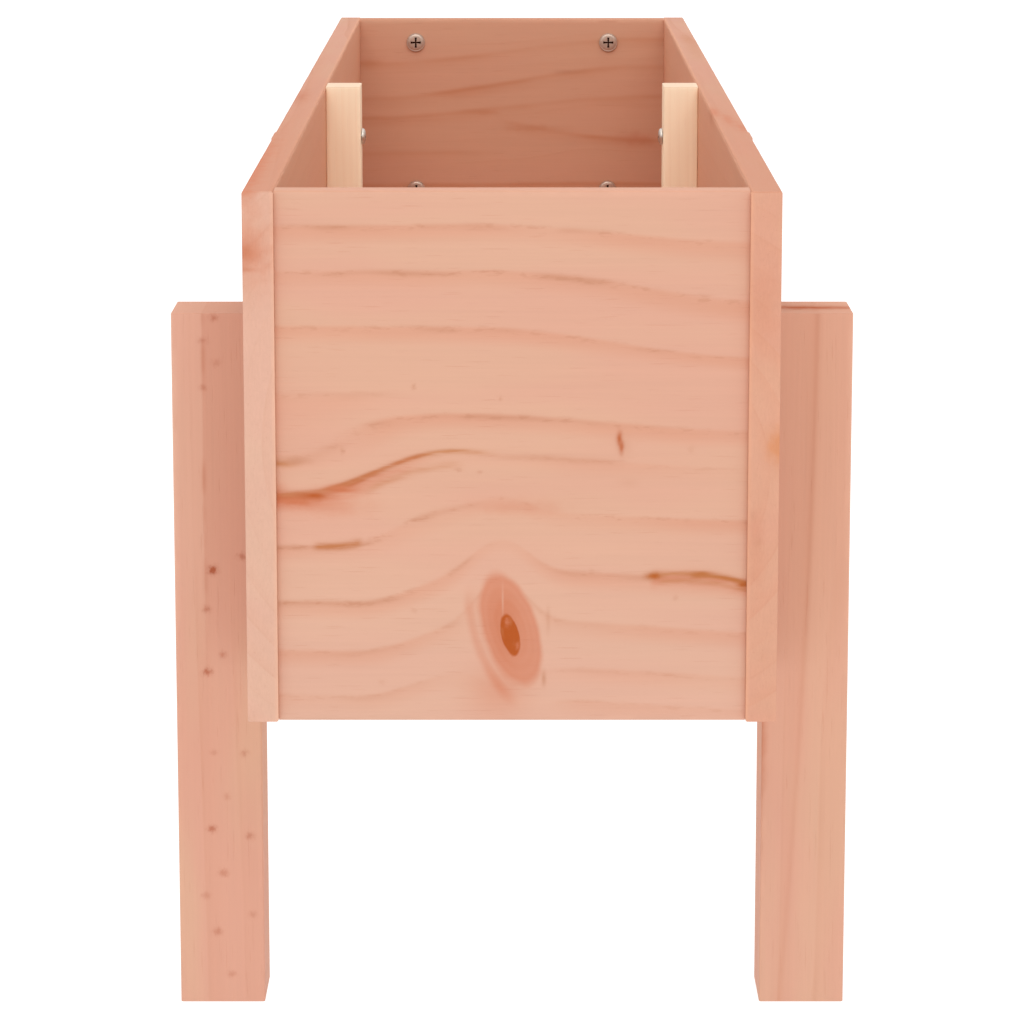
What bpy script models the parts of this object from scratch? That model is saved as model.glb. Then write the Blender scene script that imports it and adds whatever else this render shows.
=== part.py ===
"""A raised planter on legs: a long, deep wooden box carried by four square legs.

Two side boards overlap two end boards, each side has an upright batten at its middle, and
a slatted floor lies on two bearers. Every joint is screwed, and nothing moves in use.

Units are metres. X runs across the planter, Y along it and Z up. The origin is on the
ground under its centre. Left is -X, right is +X, front is -Y and back is +Y.
"""

import math
from collections import namedtuple

import bmesh
import bpy
from mathutils import Matrix, Vector

# Overall size
LENGTH = 1.010
WIDTH = 0.300
HEIGHT = 0.380

# Timber
BOARD = 0.013  # thickness of every board
BOX_DEPTH = 0.225  # height of the side and end boards
END_RECESS = 0.003  # end boards sit this far inside the side boards' ends
LEG = 0.038  # side of the square legs
LEG_HEIGHT = 0.315
LEG_SETBACK = 0.100  # from a side board's end to the leg
BATTEN_DEEP = 0.018  # section of the middle battens and floor bearers
BATTEN_WIDE = 0.025
SLAT_COUNT = 9
SLAT_WIDTH = 0.100
SLAT_END_GAP = 0.003  # from the end boards to the outermost slats
EASED_EDGE = 0.0008
FIT = 0.0003  # gap between pieces that touch

# Planes that the pieces share, measured from the middle or from the ground
BOX_BOTTOM = HEIGHT - BOX_DEPTH
LEG_INNER = WIDTH / 2 - LEG
SIDE_OUTER = LEG_INNER - FIT
SIDE_INNER = SIDE_OUTER - BOARD
LINING = SIDE_INNER - FIT  # outer limit of what stands between the side boards
END_OUTER = LENGTH / 2 - END_RECESS
END_INNER = END_OUTER - BOARD
LEG_MIDDLE = LENGTH / 2 - LEG_SETBACK - LEG / 2
BEARER_TOP = BOX_BOTTOM + BATTEN_DEEP
FLOOR_TOP = BEARER_TOP + FIT + BOARD
SLAT_SPAN = 2 * (END_INNER - SLAT_END_GAP)
SLAT_PITCH = (SLAT_SPAN - SLAT_WIDTH) / (SLAT_COUNT - 1)

# Where the screws go
END_SCREW_X = 0.0625
END_SCREW_DROPS = (0.015, 0.111, 0.207)  # below the rim
BATTEN_SCREW_DROPS = (0.0275, 0.165)
LEG_SCREW_DROPS = (0.025, 0.105)  # below the leg's top
CORNER_SCREW_DROPS = (0.045, 0.180)  # below the rim
BEARER_SCREW_YS = (-0.350, 0.0, 0.350)

# Screws: a head that stands on the wood, or a sunk one that ends flush with it
Screw = namedtuple("Screw", "head head_radius head_height shank_radius length")
END_SCREW = Screw("proud", 0.0059, 0.0014, 0.0020, 0.0105)
BATTEN_SCREW = Screw("proud", 0.00435, 0.0022, 0.0018, 0.0280)
LEG_SCREW = Screw("sunk", 0.0040, 0.0024, 0.0020, 0.0450)
CORNER_SCREW = Screw("sunk", 0.0035, 0.0021, 0.0018, 0.0400)
BEARER_SCREW = Screw("sunk", 0.0035, 0.0021, 0.0018, 0.0340)
TIP_LENGTH = 0.004
SUNK_BELOW = 0.0002  # a sunk head's top lies this far under the wood's face
RECESS_REACH = 0.52  # of the head's radius
RECESS_WIDTH = 0.22  # half width of a recess arm, of its reach
RECESS_DEPTH = 0.0010
RECESS_TAPER = 0.6  # size of the recess's floor against its mouth
ROUND_SIDES = 12
OVERCUT = 0.002  # how far a hole's cutter stands out of the wood
SHARP_ANGLE = math.radians(40)

# Finishes: colour, roughness, metallic
FIR = ((0.73, 0.41, 0.28), 0.62, 0.0)
FIR_HEART = ((0.68, 0.35, 0.22), 0.62, 0.0)
PINE = ((0.85, 0.61, 0.42), 0.58, 0.0)
ZINC = ((0.62, 0.58, 0.53), 0.38, 1.0)

SIDES = (("left", -1), ("right", 1))
ENDS = (("front", -1), ("back", 1))


def clear_scene():
    for item in list(bpy.data.objects):
        bpy.data.objects.remove(item, do_unlink=True)


def mesh_from(name, form):
    """Turns a bmesh into a mesh, with its faces pointing outwards."""
    bmesh.ops.recalc_face_normals(form, faces=form.faces)
    mesh = bpy.data.meshes.new(name)
    form.to_mesh(mesh)
    form.free()
    return mesh


def piece_material(name, finish):
    colour, roughness, metallic = finish
    material = bpy.data.materials.new(name)
    material.use_nodes = True
    shader = material.node_tree.nodes["Principled BSDF"]
    shader.inputs["Base Color"].default_value = (*colour, 1.0)
    shader.inputs["Roughness"].default_value = roughness
    shader.inputs["Metallic"].default_value = metallic
    return material


def add_piece(name, mesh, finish):
    """An object of its own for one piece, which may share its mesh, with its own material."""
    piece = bpy.data.objects.new(name, mesh)
    bpy.context.collection.objects.link(piece)
    if not mesh.materials:
        mesh.materials.append(None)
    piece.material_slots[0].link = "OBJECT"
    piece.material_slots[0].material = piece_material(name, finish)
    return piece


def add_timber(name, low, high, finish=FIR):
    """A planed block between two corners, with its edges eased."""
    low, high = Vector(low), Vector(high)
    form = bmesh.new()
    bmesh.ops.create_cube(form, size=1.0)
    bmesh.ops.scale(form, vec=high - low, verts=form.verts)
    timber = add_piece(name, mesh_from(name, form), finish)
    timber.location = (low + high) / 2
    ease = timber.modifiers.new("eased_edges", "BEVEL")
    ease.width = EASED_EDGE
    ease.segments = 1
    return timber


def add_turned(form, profile, place):
    """Adds a solid turned about Z to a bmesh. The profile is (radius, height) from its foot up."""
    foot = form.verts.new(place @ Vector((0, 0, profile[0][1])))
    top = form.verts.new(place @ Vector((0, 0, profile[-1][1])))
    rings = []
    for radius, height in profile[1:-1]:
        turns = [2 * math.pi * side / ROUND_SIDES for side in range(ROUND_SIDES)]
        spots = [(radius * math.cos(turn), radius * math.sin(turn), height) for turn in turns]
        rings.append([form.verts.new(place @ Vector(spot)) for spot in spots])
    for side in range(ROUND_SIDES):
        after = (side + 1) % ROUND_SIDES
        form.faces.new((foot, rings[0][after], rings[0][side]))
        form.faces.new((top, rings[-1][side], rings[-1][after]))
        for lower, upper in zip(rings, rings[1:]):
            form.faces.new((lower[side], lower[after], upper[after], upper[side]))


def screw_profile(screw):
    """The screw's outline. Height 0 is the face of the wood, and the point is below it."""
    point = [(0, -screw.length), (screw.shank_radius, TIP_LENGTH - screw.length)]
    if screw.head == "sunk":
        head = [
            (screw.shank_radius, -SUNK_BELOW - screw.head_height),
            (screw.head_radius, -SUNK_BELOW),
            (0, -SUNK_BELOW),
        ]
    else:
        crown = FIT + screw.head_height
        head = [
            (screw.shank_radius, FIT),
            (screw.head_radius, FIT),
            (screw.head_radius * 0.96, FIT + screw.head_height * 0.5),
            (screw.head_radius * 0.66, crown),
            (0, crown),
        ]
    return point + head


def hole_profile(screw):
    """The clearance hole of a screw: its outline with the fit gap all round, run past the face."""
    bottom = -screw.length - FIT
    shank = screw.shank_radius + FIT
    foot = [(0, bottom), (shank, bottom)]
    if screw.head == "sunk":
        mouth = screw.head_radius + FIT
        seat = -SUNK_BELOW - screw.head_height
        return foot + [(shank, seat), (mouth, -SUNK_BELOW), (mouth, OVERCUT), (0, OVERCUT)]
    return foot + [(shank, OVERCUT), (0, OVERCUT)]


def recess_mesh(screw):
    """The solid that cuts a cross recess: a plus-shaped outline that narrows downwards."""
    reach = screw.head_radius * RECESS_REACH
    half = reach * RECESS_WIDTH
    top = screw_profile(screw)[-1][1]
    quarter = [Vector((reach, -half, 0)), Vector((reach, half, 0)), Vector((half, half, 0))]
    turns = [Matrix.Rotation(math.pi / 2 * turn, 4, "Z") for turn in range(4)]
    outline = [turn @ spot for turn in turns for spot in quarter]
    form = bmesh.new()
    mouth = [form.verts.new(spot + Vector((0, 0, top + OVERCUT))) for spot in outline]
    floor = [form.verts.new(spot * RECESS_TAPER + Vector((0, 0, top - RECESS_DEPTH))) for spot in outline]
    form.faces.new(mouth)
    form.faces.new(list(reversed(floor)))
    for spot in range(len(outline)):
        after = (spot + 1) % len(outline)
        form.faces.new((floor[spot], floor[after], mouth[after], mouth[spot]))
    return mesh_from("cross_recess", form)


def screw_mesh(name, screw):
    """One screw along Z, with its cross recess cut, for all the screws of its kind to share."""
    form = bmesh.new()
    add_turned(form, screw_profile(screw), Matrix())
    blank = bpy.data.objects.new(name, mesh_from(name, form))
    cutter = bpy.data.objects.new("cross_recess", recess_mesh(screw))
    for item in (blank, cutter):
        bpy.context.collection.objects.link(item)
    cut = blank.modifiers.new("cross_recess", "BOOLEAN")
    cut.operation = "DIFFERENCE"
    cut.object = cutter
    view = bpy.context.evaluated_depsgraph_get()
    mesh = bpy.data.meshes.new_from_object(blank.evaluated_get(view))
    mesh.name = name
    mesh.shade_smooth()
    mesh.set_sharp_from_angle(angle=SHARP_ANGLE)
    for item in (blank, cutter):
        bpy.data.objects.remove(item, do_unlink=True)
    return mesh


def drill(timber, screw, places):
    """Cuts the clearance holes of one kind of screw, given each screw's own placement."""
    form = bmesh.new()
    for place in places:
        add_turned(form, hole_profile(screw), timber.matrix_world.inverted() @ place)
    cutter = bpy.data.objects.new(timber.name + "_holes", mesh_from("holes", form))
    bpy.context.collection.objects.link(cutter)
    cutter.parent = timber
    cutter.hide_render = True
    cutter.display_type = "WIRE"
    cut = timber.modifiers.new("holes", "BOOLEAN")
    cut.operation = "DIFFERENCE"
    cut.solver = "EXACT"
    cut.object = cutter


def screw_place(seat, heading):
    """The placement of a screw whose head rests at seat and whose point goes along heading."""
    turn = (-Vector(heading)).to_track_quat("Z", "Y").to_matrix().to_4x4()
    return Matrix.Translation(seat) @ turn


def add_screws(name, screw, mesh, places, timbers):
    """A row of screws of one kind, numbered from 1, and their holes in the timbers they join."""
    for number, place in enumerate(places, 1):
        piece = add_piece(f"{name}_{number}", mesh, ZINC)
        piece.matrix_world = place
    for timber in timbers:
        drill(timber, screw, places)


def make_boards():
    """The four boards of the box: the sides run the full length, the ends stand between them."""
    boards = {}
    for side, way in SIDES:
        across = sorted((way * SIDE_INNER, way * SIDE_OUTER))
        low = (across[0], -LENGTH / 2, BOX_BOTTOM)
        high = (across[1], LENGTH / 2, HEIGHT)
        boards[side] = add_timber(f"side_board_{side}", low, high)
    for end, way in ENDS:
        along = sorted((way * END_INNER, way * END_OUTER))
        low = (-LINING, along[0], BOX_BOTTOM)
        high = (LINING, along[1], HEIGHT)
        boards[end] = add_timber(f"end_board_{end}", low, high)
    return boards


def make_legs():
    """The four legs, outside the side boards and set in from their ends."""
    legs = {}
    for end, along in ENDS:
        for side, way in SIDES:
            across = sorted((way * LEG_INNER, way * WIDTH / 2))
            low = (across[0], along * LEG_MIDDLE - LEG / 2, 0)
            high = (across[1], along * LEG_MIDDLE + LEG / 2, LEG_HEIGHT)
            legs[end, side] = add_timber(f"leg_{end}_{side}", low, high, FIR_HEART)
    return legs


def make_battens():
    """The uprights that stiffen the middle of each side, from the floor to the rim."""
    battens = {}
    for side, way in SIDES:
        across = sorted((way * LINING, way * (LINING - BATTEN_DEEP)))
        low = (across[0], -BATTEN_WIDE / 2, FLOOR_TOP + FIT)
        high = (across[1], BATTEN_WIDE / 2, HEIGHT)
        battens[side] = add_timber(f"middle_batten_{side}", low, high, PINE)
    return battens


def make_bearers():
    """The rails along the foot of each side, which carry the floor."""
    bearers = {}
    for side, way in SIDES:
        across = sorted((way * LINING, way * (LINING - BATTEN_WIDE)))
        low = (across[0], FIT - END_INNER, BOX_BOTTOM)
        high = (across[1], END_INNER - FIT, BEARER_TOP)
        bearers[side] = add_timber(f"floor_bearer_{side}", low, high, PINE)
    return bearers


def make_floor():
    """The loose slats of the floor, laid across the bearers with gaps that let water out."""
    for number in range(SLAT_COUNT):
        start = number * SLAT_PITCH - SLAT_SPAN / 2
        low = (-LINING, start, BEARER_TOP + FIT)
        high = (LINING, start + SLAT_WIDTH, FLOOR_TOP)
        add_timber(f"floor_slat_{number + 1}", low, high)


def fasten_ends(boards):
    """Short flat-headed screws on the inner faces of the end boards."""
    mesh = screw_mesh("end_screw", END_SCREW)
    for end, way in ENDS:
        spots = [(across * END_SCREW_X, HEIGHT - drop) for drop in END_SCREW_DROPS for _, across in SIDES]
        places = [screw_place((x, way * END_INNER, z), (0, way, 0)) for x, z in spots]
        add_screws(f"end_screw_{end}", END_SCREW, mesh, places, (boards[end],))


def fasten_battens(boards, battens):
    mesh = screw_mesh("batten_screw", BATTEN_SCREW)
    for side, way in SIDES:
        face = way * (LINING - BATTEN_DEEP)
        places = [screw_place((face, 0, HEIGHT - drop), (way, 0, 0)) for drop in BATTEN_SCREW_DROPS]
        timbers = (battens[side], boards[side])
        add_screws(f"batten_screw_{side}", BATTEN_SCREW, mesh, places, timbers)


def fasten_legs(boards, legs):
    """Screws from inside the box, through the side boards into the legs."""
    mesh = screw_mesh("leg_screw", LEG_SCREW)
    for side, way in SIDES:
        for end, along in ENDS:
            seats = [(way * SIDE_INNER, along * LEG_MIDDLE, LEG_HEIGHT - drop) for drop in LEG_SCREW_DROPS]
            places = [screw_place(seat, (way, 0, 0)) for seat in seats]
            timbers = (legs[end, side], boards[side])
            add_screws(f"leg_screw_{end}_{side}", LEG_SCREW, mesh, places, timbers)


def fasten_corners(boards):
    """Screws through the ends of the side boards into the edges of the end boards."""
    mesh = screw_mesh("corner_screw", CORNER_SCREW)
    middle = (END_INNER + END_OUTER) / 2
    for side, way in SIDES:
        for end, along in ENDS:
            seats = [(way * SIDE_OUTER, along * middle, HEIGHT - drop) for drop in CORNER_SCREW_DROPS]
            places = [screw_place(seat, (-way, 0, 0)) for seat in seats]
            timbers = (boards[side], boards[end])
            add_screws(f"corner_screw_{end}_{side}", CORNER_SCREW, mesh, places, timbers)


def fasten_bearers(boards, bearers):
    mesh = screw_mesh("bearer_screw", BEARER_SCREW)
    height = BOX_BOTTOM + BATTEN_DEEP / 2
    for side, way in SIDES:
        face = way * (LINING - BATTEN_WIDE)
        places = [screw_place((face, y, height), (way, 0, 0)) for y in BEARER_SCREW_YS]
        timbers = (bearers[side], boards[side])
        add_screws(f"bearer_screw_{side}", BEARER_SCREW, mesh, places, timbers)


def main():
    clear_scene()
    boards = make_boards()
    legs = make_legs()
    battens = make_battens()
    bearers = make_bearers()
    make_floor()
    bpy.context.view_layer.update()
    fasten_ends(boards)
    fasten_battens(boards, battens)
    fasten_legs(boards, legs)
    fasten_corners(boards)
    fasten_bearers(boards, bearers)


main()
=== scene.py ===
"""The looks of the raised planter: worn timber, knots, screws, light and camera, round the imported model.

Units are metres. X runs across the planter, Y along it and Z up, with the ground at Z = 0.
"""

import math
from collections import namedtuple

import bmesh
import bpy
from mathutils import Matrix, Vector, noise


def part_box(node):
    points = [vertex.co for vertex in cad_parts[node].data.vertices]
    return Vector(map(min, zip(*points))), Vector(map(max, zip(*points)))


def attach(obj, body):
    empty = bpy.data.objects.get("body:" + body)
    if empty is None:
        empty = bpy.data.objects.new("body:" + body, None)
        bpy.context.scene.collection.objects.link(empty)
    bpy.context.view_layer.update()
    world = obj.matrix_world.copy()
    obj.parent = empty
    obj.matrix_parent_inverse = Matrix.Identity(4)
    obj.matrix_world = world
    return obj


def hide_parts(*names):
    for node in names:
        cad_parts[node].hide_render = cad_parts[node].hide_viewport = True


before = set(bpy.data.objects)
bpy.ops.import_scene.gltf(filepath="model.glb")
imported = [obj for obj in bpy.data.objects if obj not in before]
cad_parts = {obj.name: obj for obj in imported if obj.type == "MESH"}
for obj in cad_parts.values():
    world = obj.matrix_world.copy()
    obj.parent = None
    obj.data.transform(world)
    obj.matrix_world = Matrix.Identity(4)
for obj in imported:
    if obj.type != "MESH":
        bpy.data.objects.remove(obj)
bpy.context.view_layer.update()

# Timber edges and ends
EDGE_RADIUS = 0.0007  # of the long edges
END_RADIUS = 0.0003  # of the sawn ends
BUTT_RADIUS = 0.00012  # of ends that butt against another board
EDGE_STEPS = 4
SUPPORT = 0.0022  # from a rounded edge to the loop that keeps the flat face flat
STATION = 0.006  # spacing of the sections along the grain
WEAR_SHARE = 0.45  # deepest rubbing of an edge, as a share of its radius
WEAR_SCALE = 28.0  # patches of wear to the metre
SNUG = 0.00028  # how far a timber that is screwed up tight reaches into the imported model's gap

# Screws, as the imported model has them
FIT = 0.0003
OVERCUT = 0.002
TURN_SIDES = 32
SUNK_SIDES = 24
SHANK_SIDES = 16
THREAD_PITCH = 0.0018
THREAD_STEPS = 5  # rings to one turn of the thread
THREAD_DEPTH = 0.00045
TIP_LENGTH = 0.004
ScrewForm = namedtuple("ScrewForm", "head height shank_radius bare")
SCREW_FORMS = {
    "end": ScrewForm("wafer", 0.0014, 0.0020, 0.0015),
    "batten": ScrewForm("pan", 0.0022, 0.0018, 0.0080),
    "leg": ScrewForm("sunk", 0.0024, 0.0020, 0.0120),
    "corner": ScrewForm("sunk", 0.0021, 0.0018, 0.0110),
    "bearer": ScrewForm("sunk", 0.0021, 0.0018, 0.0100),
}
SIDE_WAY = {"left": -1, "right": 1, "front": -1, "back": 1}
WIDE_MARK = 0.0022  # marks longer than this have soft outlines, and smaller ones ragged outlines
THROUGHOUT = 0.1  # the depth of a mark that goes right through a board
RIM_LEVELS = (0.1117, 0.1122)  # above a box board's centre, where its face turns into its top edge

# Colours, linear
HONEY = (0.608, 0.350, 0.241)
ROSE = (0.613, 0.315, 0.229)
BLUSH = (0.610, 0.336, 0.237)
PALE = (0.630, 0.383, 0.288)
BAND = (0.590, 0.281, 0.184)
LINE = (0.491, 0.227, 0.137)
RUST = (0.432, 0.117, 0.043)
AMBER = (0.473, 0.194, 0.086)
OCHRE = (0.425, 0.140, 0.042)
HALO = (0.551, 0.209, 0.122)
EMBER = (0.504, 0.153, 0.070)
CORE = (0.387, 0.070, 0.004)
PIN = (0.396, 0.108, 0.050)
HEART = (0.558, 0.243, 0.160)
# Inner face tones of the box boards: partly heartwood, partly painted warm bounce light from inside the box
INNER_HEART_AND_BOUNCE = (0.643, 0.338, 0.214)
LINING_HEART_AND_BOUNCE = (0.748, 0.378, 0.228)
TAWNY = (0.560, 0.240, 0.128)
GOLD = (0.575, 0.240, 0.120)
RIM = (0.495, 0.205, 0.118)
# Painted light: paler tones for the near legs' upper parts, beside the box, lifting them against the box's
# shade
LEFT_LEG_PAINTED_LIGHT = (0.700, 0.405, 0.300)
RIGHT_LEG_PAINTED_LIGHT = (0.688, 0.380, 0.264)
LEG_HONEY = (0.632, 0.358, 0.246)
LEG_ROSE = (0.636, 0.326, 0.235)
LEG_END = (0.575, 0.300, 0.205)
PINE_EARLY = (1.000, 0.828, 0.605)
PINE_LATE = (0.940, 0.700, 0.470)
PINE_END = (0.630, 0.432, 0.310)
# Zinc, made darker and warmer as a painted reflection of the wood round the screw heads; the wafer heads'
# zinc more so
ZINC_AND_WOOD_REFLECTION = (0.640, 0.580, 0.520)
WASHER_ZINC_AND_WOOD_REFLECTION = (0.560, 0.440, 0.360)
# Painted shade: near black for the inside of the cross recesses
RECESS_PAINTED_SHADE = (0.060, 0.020, 0.012)
Colours = namedtuple("Colours", "honey rose band line")
FIR = Colours(HONEY, ROSE, BAND, LINE)
LEG_FIR = Colours(LEG_HONEY, LEG_ROSE, BAND, LINE)
PINE = Colours(PINE_EARLY, PINE_EARLY, PINE_LATE, PINE_LATE)


# ----- shader fields


def feed(tree, socket, value):
    """Gives a node's input a field, a socket or a plain value."""
    if isinstance(value, Field):
        value = value.socket
    if isinstance(value, bpy.types.NodeSocket):
        tree.links.new(value, socket)
    elif isinstance(value, tuple) and len(value) == 3 and socket.type == "RGBA":
        socket.default_value = (*value, 1.0)
    else:
        socket.default_value = value


def add_node(tree, kind, inputs=None, **settings):
    node = tree.nodes.new("ShaderNode" + kind)
    for key, value in settings.items():
        setattr(node, key, value)
    for key, value in (inputs or {}).items():
        feed(tree, node.inputs[key], value)
    return node


class Field:
    """A number at each point of a surface. Fields add, multiply and so on as numbers do."""

    def __init__(self, tree, socket):
        self.tree = tree
        self.socket = socket

    def math(self, operation, *others):
        inputs = dict(enumerate((self, *others)))
        node = add_node(self.tree, "Math", inputs, operation=operation)
        return Field(self.tree, node.outputs[0])

    def __add__(self, other):
        return self.math("ADD", other)

    def __sub__(self, other):
        return self.math("SUBTRACT", other)

    def __mul__(self, other):
        return self.math("MULTIPLY", other)

    def __truediv__(self, other):
        return self.math("DIVIDE", other)

    __radd__ = __add__
    __rmul__ = __mul__

    def __rsub__(self, other):
        return self * -1.0 + other

    def bell(self):
        """exp(-x squared): 1 at 0 and near 0 past 2."""
        return (self * self * -1.0).math("EXPONENT")

    def smooth(self, low, high):
        """0 below low, 1 above high, and an S curve between. With low above high it falls."""
        inputs = {"Value": self, "From Min": low, "From Max": high}
        node = add_node(self.tree, "MapRange", inputs, interpolation_type="SMOOTHSTEP")
        return Field(self.tree, node.outputs[0])


def vector(tree, *fields):
    return add_node(tree, "CombineXYZ", dict(enumerate(fields))).outputs[0]


class Place:
    """Where a point is along the grain, across the face and through the piece, from its centre."""

    def __init__(self, tree, axes, centre):
        origin = add_node(tree, "TexCoord").outputs["Object"]
        split = add_node(tree, "SeparateXYZ", {0: origin})
        items = ["XYZ".index(axis) for axis in axes]
        self.tree = tree
        self.fields = [Field(tree, split.outputs[item]) - centre[item] for item in items]
        self.along, self.across, self.through = self.fields
        self.spot = vector(tree, *self.fields)

    def noise(self, scales, detail=2.0, roughness=0.5, seed=0.0):
        """Smooth noise from 0 to 1, with a scale in patches to the metre along each direction."""
        scaled = vector(self.tree, *(field * scale + seed for field, scale in zip(self.fields, scales)))
        inputs = {"Vector": scaled, "Scale": 1.0, "Detail": detail, "Roughness": roughness}
        return Field(self.tree, add_node(self.tree, "TexNoise", inputs).outputs[0])

    def attribute(self, name):
        node = add_node(self.tree, "Attribute", attribute_name=name)
        return Field(self.tree, node.outputs["Fac"])

    def blend(self, share, first, second, mode="MIX"):
        """A colour that goes from the first to the second as the share goes from 0 to 1."""
        node = add_node(self.tree, "Mix", data_type="RGBA", blend_type=mode)
        for item, value in ((0, share), (6, first), (7, second)):
            feed(self.tree, node.inputs[item], value)
        return node.outputs[2]


# ----- grain and knots

Mark = namedtuple("Mark", "along across through sizes colour strength")
Streak = namedtuple("Streak", "start end level half_width colour strength taper", defaults=(0.18,))
Knot = namedtuple("Knot", "along across half_along half_across tilt")


def oval(place, along, across, half_along, half_across, tilt=0.0):
    """Distance from an oval's centre, 1 at its rim."""
    away, beside = place.along - along, place.across - across
    turn = math.radians(tilt)
    first = (away * math.cos(turn) + beside * math.sin(turn)) * (1 / half_along)
    second = (beside * math.cos(turn) - away * math.sin(turn)) * (1 / half_across)
    return (first * first + second * second).math("SQRT")


def spot(place, mark, wobble=0.0):
    """1 at a mark's centre, fading out in all three directions at about twice its sizes."""
    tree = place.tree
    centre = (mark.along, mark.across, mark.through)
    away = add_node(tree, "VectorMath", {0: place.spot, 1: centre}, operation="SUBTRACT")
    shares = tuple(1 / size for size in mark.sizes)
    away = add_node(tree, "VectorMath", {0: away.outputs[0], 1: shares}, operation="MULTIPLY")
    reach = add_node(tree, "VectorMath", {0: away.outputs[0]}, operation="LENGTH").outputs["Value"]
    return (Field(tree, reach) + wobble).bell()


def round_knots(place, knots):
    """The grain's level across the face, parted so that its lines pass round each knot."""
    level = place.across
    for knot in knots:
        near = ((place.along - knot.along) * (0.5 / knot.half_along)).bell()
        side = (place.across - knot.across) * (1 / knot.half_across)
        push = side / (side * side + 1.0) * (1.5 * knot.half_across)
        level = level - near * push
    return level


def ring_wood(place, level, look):
    """(tail, line) of the growth rings: each ring darkens slowly and ends in a sharp line.

    The rings are round a pith beside the piece, which wanders and slopes away along the grain.
    """
    tree, seed, wander = place.tree, look["seed"], look["wander"]
    drift = place.noise((1.7, 7.0, 7.0), seed=seed) - 0.5
    sway = place.noise((2.3, 5.0, 5.0), 1.0, 0.5, seed + 31.7) - 0.5
    across = level - look["pith"][0] + drift * (2 * wander)
    through = place.through - look["pith"][1] + place.along * look["slope"] + sway * (3 * wander)
    radius = (across * across + through * through).math("SQRT")
    phase = radius * (1 / look["spacing"]) + seed
    ring = phase.math("FLOOR")
    share = phase - ring
    stop = share.smooth(1.0, 0.94)
    token = vector(tree, ring, ring * 0.37 + seed, ring * 0.11)
    strength = Field(tree, add_node(tree, "TexWhiteNoise", {"Vector": token}).outputs[0]) * 0.75 + 0.25
    broken = place.noise((14.0, 50.0, 50.0), 2.0, 0.55, seed + 7.0).smooth(0.35, 0.68)
    tail = share.smooth(0.25, 0.97) * stop * strength
    line = share.smooth(0.84, 0.95) * stop * strength * (broken * 0.8 + 0.2)
    return tail, line


def base_colour(place, colours, seed):
    """The ground of the timber, drifting between two tones in patches along the grain."""
    patches = place.noise((7.0, 26.0, 26.0), seed=seed + 5.0).smooth(0.38, 0.62)
    return place.blend(patches, colours.honey, colours.rose)


def lined(place, colour, colours, tail, line, contrast):
    colour = place.blend(tail * contrast, colour, colours.band)
    return place.blend(line * contrast, colour, colours.line)


def knot_wobble(place):
    return place.noise((150.0, 150.0, 30.0), seed=4.0) - 0.5


def knotted(place, knots, colour):
    """(colour, relief) with each knot's halo, rings, hot rim and dark core."""
    wobble = knot_wobble(place)
    reliefs = []
    for knot in knots:
        reach = oval(place, *knot) + wobble * 0.18
        halo = reach.smooth(1.05, 0.88)
        rings = ((reach * 22.0).math("SINE") * 0.5 + 0.5) * halo
        core = reach.smooth(0.42, 0.30)
        rim = ((reach - 1.02) * 8.0).bell()
        colour = place.blend(halo * 0.85, colour, HALO)
        colour = place.blend(rings * 0.18 + rim * 0.30, colour, EMBER)
        colour = place.blend(core * 0.80, colour, CORE)
        reliefs.append(halo * 0.8 - core * 1.5)
    return colour, sum(reliefs)


def marked(place, marks, colour):
    """(colour, relief) with each small mark laid on: pin knots, stains and short streaks."""
    ragged = place.noise((520.0, 700.0, 80.0), 2.0, 0.6, 33.0) * 2.2 - 1.1
    soft = place.noise((150.0, 190.0, 190.0), seed=37.0) * 1.2 - 0.6
    dots = []
    for mark in marks:
        wobble = soft if max(mark.sizes[:2]) > WIDE_MARK else ragged
        dots.append(spot(place, mark, wobble).math("MINIMUM", 1.0) * mark.strength)
        colour = place.blend(dots[-1], colour, mark.colour)
    return colour, sum(dots) * -0.5


def streaked(place, level, streaks, colour):
    """(colour, relief) with resin streaks, each of which holds one level of the grain."""
    ragged = place.noise((70.0, 500.0, 40.0), 2.0, 0.6, 9.0).smooth(0.30, 0.62)
    shares = []
    for streak in streaks:
        taper = (streak.end - streak.start) * streak.taper
        opens = place.along.smooth(streak.start, streak.start + taper)
        shuts = place.along.smooth(streak.end, streak.end - taper)
        line = ((level - streak.level) * (1 / streak.half_width)).bell()
        shares.append(line * opens * shuts * (ragged * 0.55 + 0.45) * streak.strength)
        colour = place.blend(shares[-1], colour, streak.colour)
    return colour, sum(shares) * -0.6


def shade_surface(place, colour, tone, roughness, height, strength, depth):
    """Wires up the shader: a colour times a tone, a roughness and a bump."""
    tree = place.tree
    colour = place.blend(1.0, colour, vector(tree, tone, tone, tone), "MULTIPLY")
    bump = add_node(tree, "Bump", {"Height": height, "Strength": strength, "Distance": depth})
    shader = tree.nodes["Principled BSDF"]
    for name, value in (("Base Color", colour), ("Roughness", roughness), ("Normal", bump.outputs[0])):
        feed(tree, shader.inputs[name], value)
    return shader


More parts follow.
